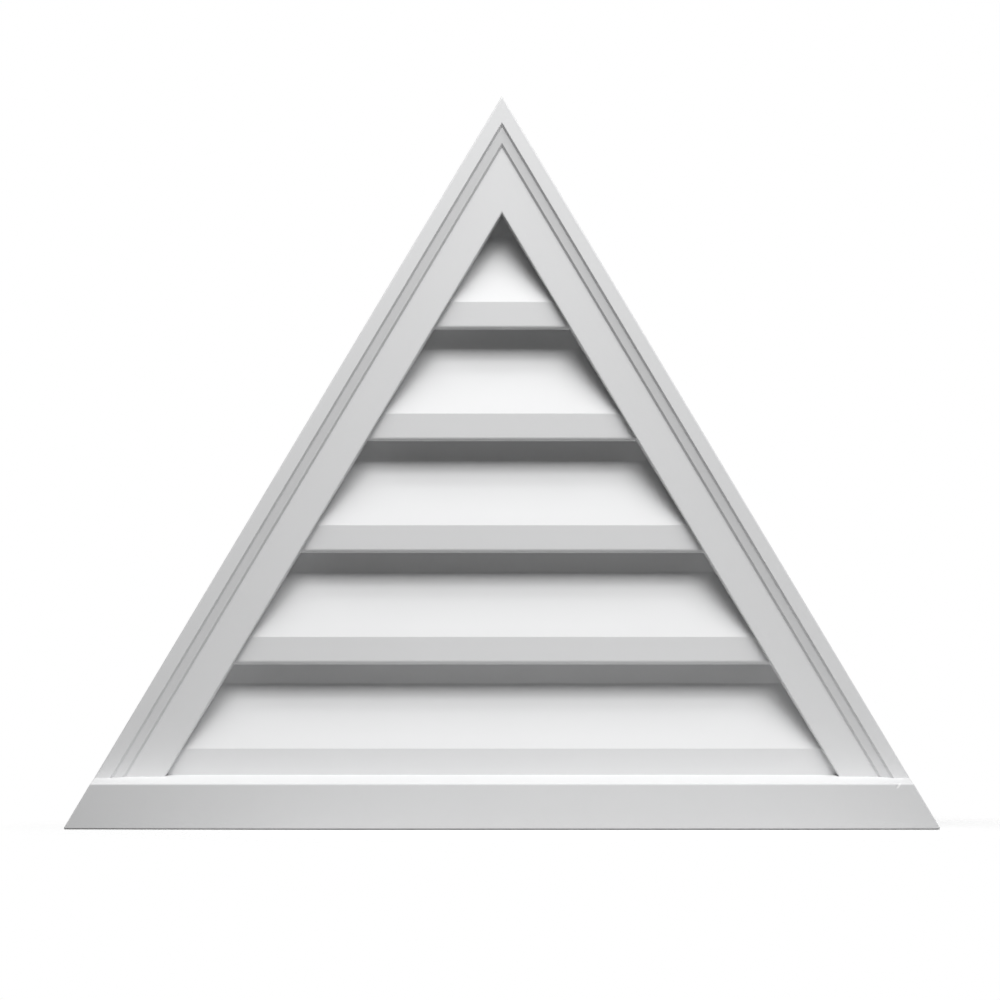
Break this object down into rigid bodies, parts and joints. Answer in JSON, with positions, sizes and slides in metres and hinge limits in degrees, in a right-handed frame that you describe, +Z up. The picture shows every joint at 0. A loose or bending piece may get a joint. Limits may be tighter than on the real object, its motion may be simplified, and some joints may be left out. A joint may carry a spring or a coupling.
{
  "type": "gable vent",
  "caption": "Triangular gable vent: one white moulding with stepped trim, sloped sill and fixed louvres with weather lips, and a stapled wire screen behind. Lets attic air out, keeps rain out.",
  "frame": {"origin": "middle of the bottom edge of the flat back face that meets the wall", "axes": "+X along the sill to the viewer's right, +Y into the wall, +Z up; the louvres face -Y"},
  "size_m": [0.813, 0.084, 0.68],
  "materials": {
    "primed_white": "satin white factory primer on moulded rigid foam",
    "galvanised_mesh": "dull galvanised welded wire",
    "staple_steel": "bright zinc plated staple wire"
  },
  "bodies": {
    "root": {"louvre_body": "primed_white", "wire_screen": "galvanised_mesh", "screen_staples": "staple_steel"}
  },
  "joints": []
}
